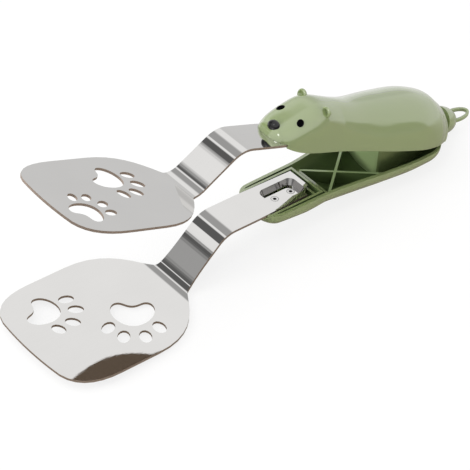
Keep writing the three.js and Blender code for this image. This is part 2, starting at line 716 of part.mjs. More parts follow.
function upperShell() {
  const wide = [-bodyHalfWidth, bodyHalfWidth];
  const outer = shellForm(upperForm, 0, 0);
  const snoutBack = -frameFront + bodyWall;
  const behindSnout = block([snoutBack, bodyRear], wide, [-overrun, bodyHeight]);
  const shell = outer.subtract(shellForm(upperForm, bodyWall, overrun).intersect(behindSnout));
  const tangTop = upperSteel.tangTop + seatGap;
  const cupTop = upperSteel.tangTop + pocketDepth + seatGap;
  const frame = tangFrame(frameTop + rimGap / 2, bodyHeight, -snoutBack);
  const seat = block([-tangEnd - ribThickness, -tangEnd], wide, [tangTop, bodyHeight]);
  const posts = screwPosts(cupTop, bodyHeight);
  const legRib = block([-upperLegReach - ribThickness, -upperLegReach + ribThickness],
    [-housingHalfWidth, -barHalfWidth - 2 * slideGap], [upperLegRise + wireRadius + seatGap, bodyHeight]);
  const guide = lockGuide();
  const underRoof = outer.add(block([-lugRadius, lugRadius], wide, [-lugRadius - overrun, rimGap]));
  const lugs = join([-1, 1].map(hingeLug)).intersect(underRoof);
  const fittings = join([frame, seat, ...posts, legRib, guide.body]).intersect(outer);
  const ears = [-1, 1].map(ear);
  const half = tangWidth / 2 + seatGap;
  const mouth = block([-bodyFront - overrun, snoutBack + overrun], [-half, half], [-overrun, tangTop]);
  const pinReach = housingHalfWidth + slideGap + lugThickness + overrun;
  const pinHole = barAcross(pinRadius + runningGap, 0, 0, -pinReach, pinReach);
  const shaft = new THREE.CylinderGeometry(shaftRadius + slideGap, shaftRadius + slideGap, bodyRear, pinSides);
  const shaftHole = solid(shaft.rotateZ(Math.PI / 2).translate(bodyRear, 0, shaftHeight));
  const bores = screwPlaces().map((x) => screwSeat(x, pocketFace(upperSteel, 1), 1));
  const sockets = [eyeBead(-1, fitGap), eyeBead(1, fitGap), noseBead(fitGap)];
  const whole = join([shell, fittings, lugs, ...ears.map((each) => each.disc)]);
  const cups = ears.map((each) => each.cup);
  return cut(whole, [mouth, cheekRelief(), pinHole, shaftHole, guide.slot, ...bores, ...cups, ...sockets]);
}

// Lock slider and tail pull

function lockSlider() {
  const barTop = barBottom + barThickness;
  const bar = block([-barFront, webAt + webThickness], [-barHalfWidth, barHalfWidth], [barBottom, barTop]);
  const hook = block([-barFront, -barFront + hookLength], [-barHalfWidth, barHalfWidth], [barBottom - hookDrop, barTop]);
  const toe = block([-barFront, -barFront + hookLength + hookToe], [-barHalfWidth, barHalfWidth], [barBottom - hookDrop, barBottom - hookDrop + toeThickness]);
  const web = block([webAt, webAt + webThickness], [-barHalfWidth, barHalfWidth], [shaftHeight - shaftRadius, barTop]);
  const length = bodyRear + seatGap + capDepth / 2 - webAt;
  const shaft = new THREE.CylinderGeometry(shaftRadius, shaftRadius, length, pinSides);
  return join([bar, hook, toe, web, solid(shaft.rotateZ(Math.PI / 2).translate(webAt + length / 2, 0, shaftHeight))]);
}

function tailPull() {
  const capFront = bodyRear + seatGap;
  const profile = [new THREE.Vector2(0, 0)];
  for (let i = 0; i <= arcSteps; i += 1) {
    const angle = Math.PI / 2 * i / arcSteps;
    profile.push(new THREE.Vector2(capRadius * Math.cos(angle), capDepth * Math.sin(angle)));
  }
  const cap = new THREE.LatheGeometry(profile, pinSides).rotateZ(-Math.PI / 2).translate(capFront, 0, capCentre);
  const oval = (inset, bottom, top) => {
    const shape = new THREE.Shape();
    shape.absellipse(0, 0, loopHalfLength - inset, loopHalfWidth - inset, 0, 2 * Math.PI);
    return drawnUp(shape, bottom, top);
  };
  const ring = oval(0, -loopHeight, 0).subtract(oval(loopBand, -loopHeight - overrun, overrun));
  const place = new THREE.Matrix4().makeTranslation(loopCentre, 0, loopTop).multiply(new THREE.Matrix4().makeRotationY(-loopLift));
  const loop = ring.transform(place.toArray());
  const bore = new THREE.CylinderGeometry(shaftRadius + fitGap, shaftRadius + fitGap, capDepth + 2 * seatGap, pinSides);
  const core = solid(cap).add(loop.subtract(capCore(capFront)));
  return core.subtract(solid(bore.rotateZ(Math.PI / 2).translate(capFront, 0, shaftHeight)));
}

function capCore(capFront) {
  // Keeps the loop from reaching in front of the cap.
  return block([-bodyFront, capFront], [-bodyHalfWidth, bodyHalfWidth], [-bodyHeight, bodyHeight]);
}

// Torsion spring

function torsionSpring() {
  const half = coilTurns * coilPitch / 2;
  const points = [];
  const stepsPerTurn = 8;
  const startAngle = -100 * DEGREE;
  const endAngle = startAngle - coilTurns * 2 * Math.PI - 200 * DEGREE;
  const lowerEnd = new THREE.Vector3(-lowerLegReach, half, -lowerLegDrop);
  points.push(lowerEnd);
  const total = Math.round(stepsPerTurn * (startAngle - endAngle) / (2 * Math.PI));
  for (let i = 0; i <= total; i += 1) {
    const t = i / total;
    const angle = THREE.MathUtils.lerp(startAngle, endAngle, t);
    points.push(new THREE.Vector3(coilRadius * Math.cos(angle), THREE.MathUtils.lerp(half, -half, t), coilRadius * Math.sin(angle)));
  }
  const legEnd = new THREE.Vector3(-upperLegReach, -legOffset, upperLegRise).applyAxisAngle(new THREE.Vector3(0, 1, 0), openAngle);
  points.push(legEnd);
  const path = new THREE.CatmullRomCurve3(points, false, 'centripetal');
  const wire = new THREE.Shape();
  wire.absarc(0, 0, wireRadius, 0, 2 * Math.PI);
  return solid(new THREE.ExtrudeGeometry(wire, { steps: total + 10, extrudePath: path, curveSegments: 3, bevelEnabled: false }));
}

// Assembly

function finish(colour, roughness, metalness) {
  return new THREE.MeshStandardMaterial({ color: colour, roughness, metalness });
}

function piece(name, body, material) {
  const mesh = new THREE.Mesh(geometryOf(body), material);
  mesh.name = name;
  return mesh;
}

const lowerArm = new THREE.Group();
lowerArm.add(piece('lower_shell', lowerShell(), finish('#a3b184', 0.3, 0)));
lowerArm.add(piece('lower_blade', steelArm(lowerSteel, lowerPrints, -1), finish('#d6d4d1', 0.1, 1)));
screwPlaces().forEach((x, i) => lowerArm.add(piece(['lower_screw_front', 'lower_screw_rear'][i], screwBody(x, lowerSteel, -1), finish('#b9b9b9', 0.25, 1))));
const pinLength = 2 * (housingHalfWidth + slideGap + lugThickness);
lowerArm.add(piece('hinge_pin', barAcross(pinRadius, 0, 0, -pinLength / 2, pinLength / 2), finish('#a8a8a8', 0.25, 1)));
lowerArm.add(piece('torsion_spring', torsionSpring(), finish('#8d8d8d', 0.3, 1)));

const upperArm = new THREE.Group();
upperArm.rotation.y = openAngle;
upperArm.add(piece('upper_shell', upperShell(), finish('#a9b68b', 0.3, 0)));
upperArm.add(piece('upper_blade', steelArm(upperSteel, upperPrints, 1), finish('#d4d2cf', 0.1, 1)));
screwPlaces().forEach((x, i) => upperArm.add(piece(['upper_screw_front', 'upper_screw_rear'][i], screwBody(x, upperSteel, 1), finish('#b9b9b9', 0.25, 1))));
upperArm.add(piece('eye_near', eyeBead(-1, 0), finish('#0b0d0a', 0.25, 0)));
upperArm.add(piece('eye_far', eyeBead(1, 0), finish('#0b0d0a', 0.25, 0)));
upperArm.add(piece('nose', noseBead(0), finish('#16141a', 0.2, 0)));
upperArm.add(piece('lock_slider', lockSlider(), finish('#8fa06f', 0.4, 0)));
upperArm.add(piece('tail_pull', tailPull(), finish('#9dab7c', 0.3, 0)));

// Rest pose: the blade's heel and the belly touch the table, as the tongs lie by themselves.
function lowest(meshes, tilt) {
  // Lowest height among the vertices after tilting about y.
  let least = Infinity;
  meshes.forEach((mesh) => {
    const points = mesh.geometry.attributes.position;
    for (let i = 0; i < points.count; i += 1) {
      least = Math.min(least, points.getZ(i) * Math.cos(tilt) - points.getX(i) * Math.sin(tilt));
    }
  });
  return least;
}

function restingTilt() {
  const [shell, blade] = lowerArm.children;
  let low = 0;
  let high = openAngle;
  const halvings = 40;
  for (let i = 0; i < halvings; i += 1) {
    const middle = (low + high) / 2;
    if (lowest([blade], middle) < lowest([shell], middle)) low = middle;
    else high = middle;
  }
  return (low + high) / 2;
}

const tongs = new THREE.Group();
const resting = new THREE.Group();
resting.rotation.y = restingTilt();
resting.add(lowerArm, upperArm);
tongs.add(resting);
const extent = new THREE.Box3().setFromObject(tongs, true);
resting.position.set(-(extent.min.x + extent.max.x) / 2, 0, -extent.min.z);
tongs.updateMatrixWorld(true);

export default tongs;
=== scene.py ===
"""Spatula tongs with a bear-shaped handle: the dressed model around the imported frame."""

import json
import math

import bmesh
import bpy
from bpy.props import FloatProperty, FloatVectorProperty, PointerProperty
from mathutils import Matrix, Vector
from mathutils.bvhtree import BVHTree


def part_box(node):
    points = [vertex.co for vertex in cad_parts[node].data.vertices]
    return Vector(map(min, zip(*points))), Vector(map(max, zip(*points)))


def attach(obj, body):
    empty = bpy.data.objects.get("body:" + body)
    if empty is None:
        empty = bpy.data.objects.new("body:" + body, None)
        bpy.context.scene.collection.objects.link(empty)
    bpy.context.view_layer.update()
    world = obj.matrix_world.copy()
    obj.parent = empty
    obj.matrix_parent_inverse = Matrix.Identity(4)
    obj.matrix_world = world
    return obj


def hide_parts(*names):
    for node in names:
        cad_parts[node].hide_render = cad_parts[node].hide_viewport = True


bl_info = {
    "name": "Spatula Tongs",
    "version": (1, 0, 0),
    "blender": (4, 5, 0),
    "location": "3D View > Sidebar > Tongs",
    "description": "Dresses the steel blades, the bear handle, the tray and the tail pull of spatula tongs",
    "category": "Object",
}

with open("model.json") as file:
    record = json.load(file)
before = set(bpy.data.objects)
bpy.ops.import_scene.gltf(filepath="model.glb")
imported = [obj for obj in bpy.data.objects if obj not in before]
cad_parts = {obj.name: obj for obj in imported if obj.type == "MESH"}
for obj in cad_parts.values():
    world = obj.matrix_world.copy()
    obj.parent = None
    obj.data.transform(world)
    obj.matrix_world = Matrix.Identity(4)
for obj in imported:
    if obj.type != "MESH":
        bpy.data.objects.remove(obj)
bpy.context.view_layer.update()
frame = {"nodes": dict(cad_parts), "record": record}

MM = 0.001
JOINTS = {joint["name"]: joint for joint in frame["record"]["behaviour"]["joints"]}
MOUNTS = {mount["name"]: mount for mount in frame["record"]["mounts"]}
HINGE = Vector(JOINTS["hinge"]["pos_m"])

# Half-widths and heights along the handle, as shares of the largest; the places run from snout to tail
PLACES = (0.0168, 0.0572, 0.1246, 0.2054, 0.2997, 0.4343, 0.596, 0.7441, 0.8519, 0.9192)
BEAR_WIDTHS = (0.345, 0.54, 0.64, 0.687, 0.702, 0.794, 0.94, 1.0, 0.905, 0.73)
BEAR_HEIGHTS = (0.36, 0.534, 0.781, 1.0, 0.964, 0.883, 0.947, 1.0, 0.927, 0.688)
TRAY_WIDTHS = (0.62, 0.65, 0.668, 0.676, 0.683, 0.765, 0.9, 0.984, 0.97, 0.94)
TRAY_DEPTHS = (0.52, 0.63, 0.71, 0.785, 0.86, 0.93, 0.975, 1.0, 0.985, 0.95)

# The studio's cards over the arms, in four tones: where each starts and ends, in degrees over the table
# from the tail's side, and its tone
WALL, WHITE, SHADE, BLACK = 0.7, 0.95, 0.4, 0.12
STUDIO_CARDS = (
    (0, 35, WALL),
    (40, 60, WHITE),
    (68, 92, SHADE),
    (95, 100, WHITE),
    (104, 132, BLACK),
    (134, 137, WHITE),
    (139, 141, BLACK),
    (144, 180, SHADE),
)
# Brightness towards the camera's side, by height over the horizon in degrees: a dark room edge
# under a bright sky
FRONT = (
    (-90, 0.3), (-2, 0.3), (3, 0.26), (16, 0.22),
    (19.5, 0.72), (25, 0.94), (40, 0.97), (64, 0.94), (90, 0.88),
)

# Each arm's course in millimetres: tang height, crank start, crank run and drop
ARMS = {"lower_blade": (0, 154, 28, 27.5), "upper_blade": (4.4, 156.3, 23.2, 27)}
BEND_RADII = (17, 12)
# The swell that bending leaves in each neck: its middle in millimetres past the first bend's start,
# its reach, and how much steeper than its course the sheet leans there, in degrees
SWELLS = {"lower_blade": (30, 16, 5), "upper_blade": (27, 13, -5)}

# Sizes that the dressed pieces share with the solids, in millimetres
OPEN_ANGLE = math.radians(19.25)
TRAY_WALL = 2.0
TRAY_FRONT, TRAY_REAR = 129, 8
EAR_RADIUS = 3.4
EAR_AT, EAR_ACROSS, EAR_HEIGHT = -98.1, 10.2, 22.2
CAP_START, CAP_DEPTH, CAP_RADIUS, CAP_CENTRE = 18.3, 13, 8.7, 2.8
LOOP_AT, LOOP_HEIGHT, LOOP_START = 31.5, 6.66, 24
LOOP_LIFT = math.radians(-15.6)

# The radius of the dark socket painted as shade in a screw's head, in millimetres
SOCKET_SHADE_RADIUS = 0.95

# An eye's half sizes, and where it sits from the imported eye's middle, in millimetres
EYE_SIZE = (2.0, 2.5, 0.9)
EYE_SHIFT = (0.5, -0.45, 0.15)

# Windows in the skins, low corner and high corner in millimetres
BEAR_TANG_WINDOW = ((-140, -12.3, -4), (-117.8, 12.3, 4.45))
BEAR_SHAFT_WINDOW = ((10, -2.2, 0.8), (30, 2.2, 5.2))
TRAY_TANG_WINDOW = ((-140, -12.3, -1.8), (-115, 12.3, 4))

# Stretches of the tray and of the tangs along the handle, in millimetres, where light or shade is painted:
# lighter on the housing's front face and the ribs' tops, darker on the fittings' faces in front of the
# housing that don't face up and on the pocket's walls
HOUSING_FACE = (-40, -38)
RIBS_START = -76
POCKET = (-118, -89)
POCKET_HALF_WIDTH = 9

# The camera in the lower half's frame: its place in millimetres, the way to its right and the way it looks
CAMERA_AT = (-878.15, -806.30, 883.89)
CAMERA_RIGHT = (0.76838, -0.63694, 0.06250)
CAMERA_VIEW = (0.52293, 0.56855, -0.63506)

# Points closer than these become one, and a cut this close to a point goes through it, in metres
MERGE = 0.00001
FINE_MERGE = 0.000002
CUT = 0.0000001
NEARLY_ZERO = 1e-9
SHARP = math.radians(35)


def half_frame(forward, up):
    """The frame of one half: the hinge is its origin, +X runs to the tail and +Z out of its rim."""
    side = up.cross(forward)
    turn = Matrix((forward, side, up)).transposed().to_4x4()
    return Matrix.Translation(HINGE) @ turn


def upper_frame():
    """The upper half's frame: its lock slides straight to the tail."""
    forward = Vector(JOINTS["lock_slide"]["axis"]).normalized()
    return half_frame(forward, forward.cross(Vector((0, 1, 0))))


def lower_frame():
    """The lower half's frame: its steel arm's top looks straight out of the rim."""
    up = Vector(MOUNTS["blade_top"]["axis"]).normalized()
    return half_frame(Vector((0, 1, 0)).cross(up), up)


UPPER = upper_frame()
LOWER = lower_frame()


class Wire:
    """A shader socket that takes part in Python expressions; each step adds a Math node."""

    def __init__(self, recipe, socket):
        self.recipe = recipe
        self.socket = socket

    def __add__(self, other):
        return self.recipe.maths("ADD", self, other)

    def __radd__(self, other):
        return self.recipe.maths("ADD", other, self)

    def __mul__(self, other):
        return self.recipe.maths("MULTIPLY", self, other)

    def __rmul__(self, other):
        return self.recipe.maths("MULTIPLY", other, self)

    def __truediv__(self, other):
        return self.recipe.maths("DIVIDE", self, other)

    def __rtruediv__(self, other):
        return self.recipe.maths("DIVIDE", other, self)


class Placed:
    """A node in a tree, whose outputs come out as wires."""

    def __init__(self, recipe, made):
        self.recipe = recipe
        self.made = made

    def out(self, key):
        return Wire(self.recipe, self.made.outputs[key])


class Recipe:
    """A node tree that is filled node by node."""

    def __init__(self, owner):
        owner.use_nodes = True
        self.owner = owner
        self.tree = owner.node_tree
        self.tree.nodes.clear()

    def node(self, kind, settings=None, sockets=None):
        made = self.tree.nodes.new(kind)
        for key, value in (settings or {}).items():
            if key == "stops":
                self.fill_ramp(made.color_ramp, value)
            else:
                setattr(made, key, value)
        for key, value in (sockets or {}).items():
            if isinstance(value, Wire):
                self.tree.links.new(value.socket, made.inputs[key])
            else:
                made.inputs[key].default_value = value
        return Placed(self, made)

    def fill_ramp(self, ramp, stops):
        while len(ramp.elements) > 1:
            ramp.elements.remove(ramp.elements[-1])
        ramp.elements[0].position, ramp.elements[0].color = stops[0]
        for position, colour in stops[1:]:
            ramp.elements.new(position).color = colour

    def maths(self, operation, first, second):
        """One step of maths on numbers."""
        return self.node("ShaderNodeMath", {"operation": operation}, {0: first, 1: second}).out(0)

    def noise(self, place, scale, detail):
        """A soft random pattern."""
        made = self.node("ShaderNodeTexNoise", None, {"Vector": place, "Scale": scale, "Detail": detail})
        return made.out(0)

    def spread(self, value, low, high, first=0.0, last=1.0):
        """A number that goes from first to last while the value goes from low to high."""
        return self.node("ShaderNodeMapRange", None, {0: value, 1: low, 2: high, 3: first, 4: last}).out(0)

    def bump(self, strength, distance, height):
        """A surface direction that follows a height."""
        sockets = {"Strength": strength, "Distance": distance, "Height": height}
        return self.node("ShaderNodeBump", None, sockets).out(0)

    def blend(self, share, first, second):
        """A colour between two colours."""
        made = self.node("ShaderNodeMix", {"data_type": "RGBA"}, {0: share, 6: first, 7: second})
        return made.out(2)

    def surface(self, **sockets):
        """Ends the tree in one Principled shader."""
        named = {key.replace("_", " "): value for key, value in sockets.items()}
        shader = self.node("ShaderNodeBsdfPrincipled", None, named)
        self.node("ShaderNodeOutputMaterial", None, {"Surface": shader.out(0)})
        return self.owner


def rgba(colour):
    return (colour[0], colour[1], colour[2], 1.0)


def grey(level):
    return (level, level, level, 1.0)


def new_finish(name):
    """A new material's node tree, and the place on the object that its patterns follow."""
    made = Recipe(bpy.data.materials.new(name))
    return made, made.node("ShaderNodeTexCoord").out("Object")


def green_plastic(name, colour, warm, coat=1.0, roughness=0.16, gloss=0.5):
    """Glossy moulded plastic: soft clouds of a second tone and a fine skin."""
    made, place = new_finish(name)
    flow = made.noise(place, 30.0, 2.0)
    grain = made.noise(place, 1800.0, 2.0)
    tone = made.blend(flow * 0.5, rgba(colour), rgba(warm))
    skin = made.bump(0.08, 0.0001, grain)
    return made.surface(
        Base_Color=tone,
        Roughness=roughness + flow * 0.08,
        Normal=skin,
        Specular_IOR_Level=gloss,
        Coat_Weight=coat,
        Coat_Roughness=0.06,
        Coat_IOR=2.1,
    )


def polished_steel(name, colour, scratches, roughness):
    """Bright sheet steel: fine rolling lines along the sheet and a faint cloudiness."""
    made, place = new_finish(name)
    drawn = made.node("ShaderNodeMapping", None, {"Vector": place, "Scale": (60.0, 2400.0, 60.0)}).out(0)
    lines = made.noise(drawn, 1.0, 3.0)
    cloud = made.noise(place, 30.0, 2.0)
    tone = made.blend(cloud * 0.6 + lines * 0.3, rgba(colour), rgba([c * 0.9 for c in colour]))
    brushed = made.bump(scratches, 0.00002, lines)
    return made.surface(
        Base_Color=tone,
        Metallic=1.0,
        Roughness=roughness + lines * 0.012 + cloud * 0.008,
        Normal=brushed,
    )


def screw_steel(name, colour, centre, reach):
    """Bright screw steel with painted shade for a socket round the screw's own middle and a painted dark ring
    near the head's rim.
    """
    made, place = new_finish(name)
    away = made.node("ShaderNodeVectorMath", {"operation": "DISTANCE"}, {0: place, 1: centre}).out("Value")
    turned = made.noise(place, 1500.0, 2.0)
    # Painted shade: near black in the socket's recess, and a dark ring near the head's rim
    socket = made.spread(away, reach, reach * 1.25, 1.0, 0.0)
    rim_shade = made.spread(away, reach * 2.0, reach * 2.4, 0.0, 0.85)
    rim_shaded = made.blend(rim_shade, rgba(colour), grey(0.05))
    tone = made.blend(socket, rim_shaded, grey(0.004))
    return made.surface(Base_Color=tone, Metallic=1.0, Roughness=0.2 + turned * 0.08)


def cut_edge_steel(name, colour):
    """The sheared edge of the sheet: duller and lined across, in a warm light tan that is a painted
    highlight.
    """
    made, place = new_finish(name)
    lines = made.noise(place, 900.0, 2.0)
    tone = made.blend(lines, rgba(colour), rgba([c * 0.7 for c in colour]))
    shear = made.bump(0.2, 0.00005, lines)
    return made.surface(Base_Color=tone, Metallic=0.9, Roughness=0.28 + lines * 0.1, Normal=shear)


def black_plastic(name, roughness, gloss):
    """Black moulded beads with a faint unevenness in the gloss."""
    made, place = new_finish(name)
    haze = made.noise(place, 600.0, 3.0)
    tone = made.blend(haze, grey(0.001), (0.004, 0.004, 0.005, 1.0))
    skin = made.bump(0.15, 0.0001, haze)
    return made.surface(
        Base_Color=tone,
        Roughness=roughness + haze * 0.08,
        Specular_IOR_Level=gloss,
        Normal=skin,
    )


def settings():
    return bpy.context.scene.tongs


def new_piece(name, bm, body, materials, replaced=()):
    """Turns a bmesh into a finished piece that rides on its body."""
    mesh = bpy.data.meshes.new(name)
    bm.to_mesh(mesh)
    bm.free()
    piece = bpy.data.objects.new(name, mesh)
    bpy.context.scene.collection.objects.link(piece)
    for material in materials:
        mesh.materials.append(material)
    mesh.shade_smooth()
    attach(piece, body)
    if replaced:
        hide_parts(*replaced)
    return piece


def bake(piece):
    """Applies the piece's modifiers to its mesh."""
    graph = bpy.context.evaluated_depsgraph_get()
    mesh = bpy.data.meshes.new_from_object(piece.evaluated_get(graph))
    piece.modifiers.clear()
    piece.data = mesh


def round_edges(piece, width, angle):
    """A small rounding on every edge sharper than the angle."""
    step = piece.modifiers.new("rounding", "BEVEL")
    step.width = width
    step.segments = 2
    step.limit_method = "ANGLE"
    step.angle_limit = angle
    step.use_clamp_overlap = True
    step.harden_normals = True


def keep_flat(piece, weight):
    """Even shading on flat faces beside rounded or sharp edges."""
    step = piece.modifiers.new("flat faces stay flat", "WEIGHTED_NORMAL")
    step.keep_sharp = True
    step.weight = weight


def sharpen(piece, angle):
    """Smooth shading that breaks at edges sharper than the angle."""
    bm = bmesh.new()
    bm.from_mesh(piece.data)
    for edge in bm.edges:
        edge.smooth = not (len(edge.link_faces) == 2 and edge.calc_face_angle(0) > angle)
    bm.to_mesh(piece.data)
    bm.free()
    piece.data.shade_smooth()
    keep_flat(piece, 80)


def eased(xs, ys, x):
    """Smooth interpolation that doesn't overshoot between the stations."""
    if x <= xs[0]:
        return ys[0]
    if x >= xs[-1]:
        return ys[-1]
    last = len(xs) - 1
    k = next(i for i in range(last) if x < xs[i + 1])

    def slope(i):
        return (ys[i + 1] - ys[i]) / (xs[i + 1] - xs[i])

    def tangent(i):
        if i == 0:
            return slope(0)
        if i == last:
            return slope(last - 1)
        before, after = slope(i - 1), slope(i)
        return 0.0 if before * after <= 0 else 2 * before * after / (before + after)

    width = xs[k + 1] - xs[k]
    t = (x - xs[k]) / width
    start = (2 * t - 3) * t * t + 1
    end = (3 - 2 * t) * t * t
    lead = ((t - 2) * t + 1) * t * width * tangent(k)
    tail = (t - 1) * t * t * width * tangent(k + 1)
    return start * ys[k] + lead + end * ys[k + 1] + tail


def powered(value, power):
    """A sine or cosine raised to a power, with its sign kept."""
    return math.copysign(abs(value) ** power, value) if abs(value) > NEARLY_ZERO else 0.0


class HalfForm:
    """The outer form of one half of the handle, in millimetres in that half's frame."""

    def __init__(
        self, sign, front, rear, front_round, rear_round, rear_power, widths, heights, tall, rim_lift
    ):
        self.sign = sign
        self.rim_lift = rim_lift
        self.front = front
        self.rear = rear
        self.front_round = front_round
        self.rear_round = rear_round
        self.rear_power = rear_power
        self.widths = widths
        self.heights = heights
        self.tall = tall

    def station(self, x):
        size = settings().handle
        return (x + size.length_front) / (size.length_front + size.length_rear)

    def evened(self, shares, x):
        """The share at a place, averaged over three millimetres to either side."""
        reach = (-3, -1.5, 0, 1.5, 3)
        return sum(eased(PLACES, shares, self.station(x + away)) for away in reach) / len(reach)

    def half_width(self, x):
        return settings().handle.half_width * self.evened(self.widths, x)

    def rise(self, x):
        return self.tall * self.evened(self.heights, x) - settings().handle.rim_gap / 2

    def squareness(self, x):
        front = settings().handle.length_front
        t = (x + 0.75 * front) / (0.11 * front)
        return 2.7 - 0.7 * min(max(t, 0.0), 1.0)

    def section(self, share):
        """The place along the length, and how full the section is there, for a share of the skin's length."""
        ends = 0.16
        front_end = -self.front + self.front_round
        rear_end = self.rear - self.rear_round
        if share < ends:
            full = math.sin(share / ends * math.pi / 2)
            return front_end - math.sqrt(1 - full**2) * self.front_round, full
        if share > 1 - ends:
            full = math.sin((1 - share) / ends * math.pi / 2)
            reach = (1 - full**self.rear_power) ** (1 / self.rear_power)
            return rear_end + reach * self.rear_round, full
        t = (share - ends) / (1 - 2 * ends)
        return front_end + t * (rear_end - front_end), 1.0

    def point(self, along, around):
        """A point of the skin: along runs from front to rear, around from one rim to the other."""
        x, full = self.section(along)
        power = 2 / self.squareness(x)
        lift = self.rim_lift(x) / self.rise(x) if full > 0.999 else 0.0
        start = math.asin(lift ** (1 / power))
        angle = start + (math.pi - 2 * start) * around
        across = powered(math.cos(angle), power)
        up = powered(math.sin(angle), power)
        rim = settings().handle.rim_gap / 2
        height = rim + up * self.rise(x) * full
        return Vector((x, across * self.half_width(x) * full, self.sign * height))


def skin_bmesh(form, length_steps, round_steps):
    """The outer skin of one half as an open sheet, closed at both ends, in the half's own frame."""
    bm = bmesh.new()
    bmesh.ops.create_grid(bm, x_segments=length_steps, y_segments=round_steps, size=1)
    for vertex in bm.verts:
        vertex.co = form.point((vertex.co.x + 1) / 2, (vertex.co.y + 1) / 2) * MM
    bmesh.ops.remove_doubles(bm, verts=bm.verts, dist=MERGE)
    bmesh.ops.recalc_face_normals(bm, faces=bm.faces)
    inside = Vector((-0.05, 0, form.sign * 0.004))
    outward = 0.0
    for face in bm.faces:
        outward += (face.calc_center_median() - inside).dot(face.normal) * face.calc_area()
    if outward < 0:
        bmesh.ops.reverse_faces(bm, faces=bm.faces)
    return bm


def cut_across(bm, faces, point, normal, clear_outer=False):
    """Cuts the faces along a plane, and drops what lies beyond it if that is asked for."""
    corners = {corner for face in faces for corner in face.verts}
    edges = {edge for face in faces for edge in face.edges}
    touched = list(corners | edges | set(faces))
    bmesh.ops.bisect_plane(
        bm, geom=touched, dist=CUT, plane_co=point, plane_no=normal, clear_outer=clear_outer
    )


def clear_box(bm, low, high):
    """Cuts a box-shaped window, in millimetres, out of a skin."""
    margin = 8

    def within(face, slack):
        middle = face.calc_center_median()
        return all(low[k] - slack < middle[k] / MM < high[k] + slack for k in range(3))

    for axis in range(3):
        for level in (low[axis], high[axis]):
            normal = [0, 0, 0]
            normal[axis] = 1
            point = [0, 0, 0]
            point[axis] = level * MM
            near = [face for face in bm.faces if within(face, margin)]
            cut_across(bm, near, point, normal)
    inside = [face for face in bm.faces if within(face, 0)]
    bmesh.ops.delete(bm, geom=inside, context="FACES")


def walled(name, bm, place, wall, body, materials):
    """A skin with its wall pulled inwards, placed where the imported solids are."""
    bmesh.ops.transform(bm, matrix=place, verts=bm.verts)
    skin = new_piece(name, bm, body, materials)
    step = skin.modifiers.new("wall", "SOLIDIFY")
    step.thickness = wall * MM
    step.offset = -1
    step.use_even_offset = True
    step.material_offset = len(materials) - 1
    bake(skin)
    whole = bmesh.new()
    whole.from_mesh(skin.data)
    bpy.data.objects.remove(skin)
    return whole


def fittings_bmesh(node, skin, place, wall, left_out):
    """The ribs, posts and frames inside a half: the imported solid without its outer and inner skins."""
    rear_slack, front_slack = 1.4, 0.5
    bm = bmesh.new()
    bm.from_mesh(frame["nodes"][node].data)
    bmesh.ops.transform(bm, matrix=place.inverted(), verts=bm.verts)
    bmesh.ops.remove_doubles(bm, verts=bm.verts, dist=MERGE)
    depth = {vertex: skin.find_nearest(vertex.co)[3] / MM for vertex in bm.verts}
    walls = []
    for face in bm.faces:
        middle = face.calc_center_median()
        slack = rear_slack if middle.x > 0 else front_slack
        on_skin = all(depth[v] < slack or abs(depth[v] - wall) < slack for v in face.verts)
        if left_out(middle / MM) or on_skin and skin.find_nearest(middle)[3] / MM < wall + slack:
            walls.append(face)
    bmesh.ops.delete(bm, geom=walls, context="FACES")
    bmesh.ops.transform(bm, matrix=place, verts=bm.verts)
    return bm


def cheek_lift(x):
    """How far the bear's rim rises towards the snout."""
    most, start, reach = 2.6, -106, 19
    return most * min(max((start - x) / reach, 0), 1) ** 2


def bear_form():
    size = settings().handle
    return HalfForm(
        sign=1, front=size.length_front, rear=size.length_rear, front_round=4, rear_round=12,
        rear_power=1.46, widths=BEAR_WIDTHS, heights=BEAR_HEIGHTS, tall=size.height, rim_lift=cheek_lift,
    )


def tray_form():
    size = settings().handle
    return HalfForm(
        sign=-1, front=TRAY_FRONT, rear=TRAY_REAR, front_round=12, rear_round=17,
        rear_power=2.2, widths=TRAY_WIDTHS, heights=TRAY_DEPTHS, tall=size.tray_depth, rim_lift=lambda x: 0.0,
    )


class HandleSettings(bpy.types.PropertyGroup):
    """Sizes and colours of the plastic handle."""

    length_front: FloatProperty(
        name="Front length", description="Hinge to snout, in millimetres", default=129.3,
    )
    length_rear: FloatProperty(name="Rear length", description="Hinge to rump, in millimetres", default=18.0)
    half_width: FloatProperty(
        name="Half width", description="Largest half width, in millimetres", default=25.2,
    )
    height: FloatProperty(
        name="Bear height", description="Height of the bear above the rim plane, in millimetres",
        default=24.7,
    )
    tray_depth: FloatProperty(
        name="Tray depth", description="Depth of the tray below the rim plane, in millimetres", default=16.5,
    )
    rim_gap: FloatProperty(
        name="Rim gap", description="Gap between the closed rims, in millimetres", default=1.0,
    )
    wall: FloatProperty(name="Wall", description="Wall of the plastic, in millimetres", default=2.1)
    colour: FloatVectorProperty(
        name="Green", description="Colour of the plastic",
        subtype="COLOR", default=(0.2, 0.262, 0.107), min=0, max=1,
    )
    warm: FloatVectorProperty(
        name="Warm green", description="Second tone of the plastic",
        subtype="COLOR", default=(0.225, 0.266, 0.116), min=0, max=1,
    )
    # Painted shade: a darker, duller copy of the green for the tray's inner walls and for the fittings' faces
    # in front of the housing that don't face up
    inside: FloatVectorProperty(
        name="Inside", description="Colour of the tray's shaded inside",
        subtype="COLOR", default=(0.085, 0.13, 0.045), min=0, max=1,
    )
    # Painted light: a lighter copy of the green for the ribs' tops and the hinge housing's front face, where
    # the light falls
    ribs: FloatVectorProperty(
        name="Ribs", description="Colour of the ribs' tops",
        subtype="COLOR", default=(0.32, 0.43, 0.2), min=0, max=1,
    )


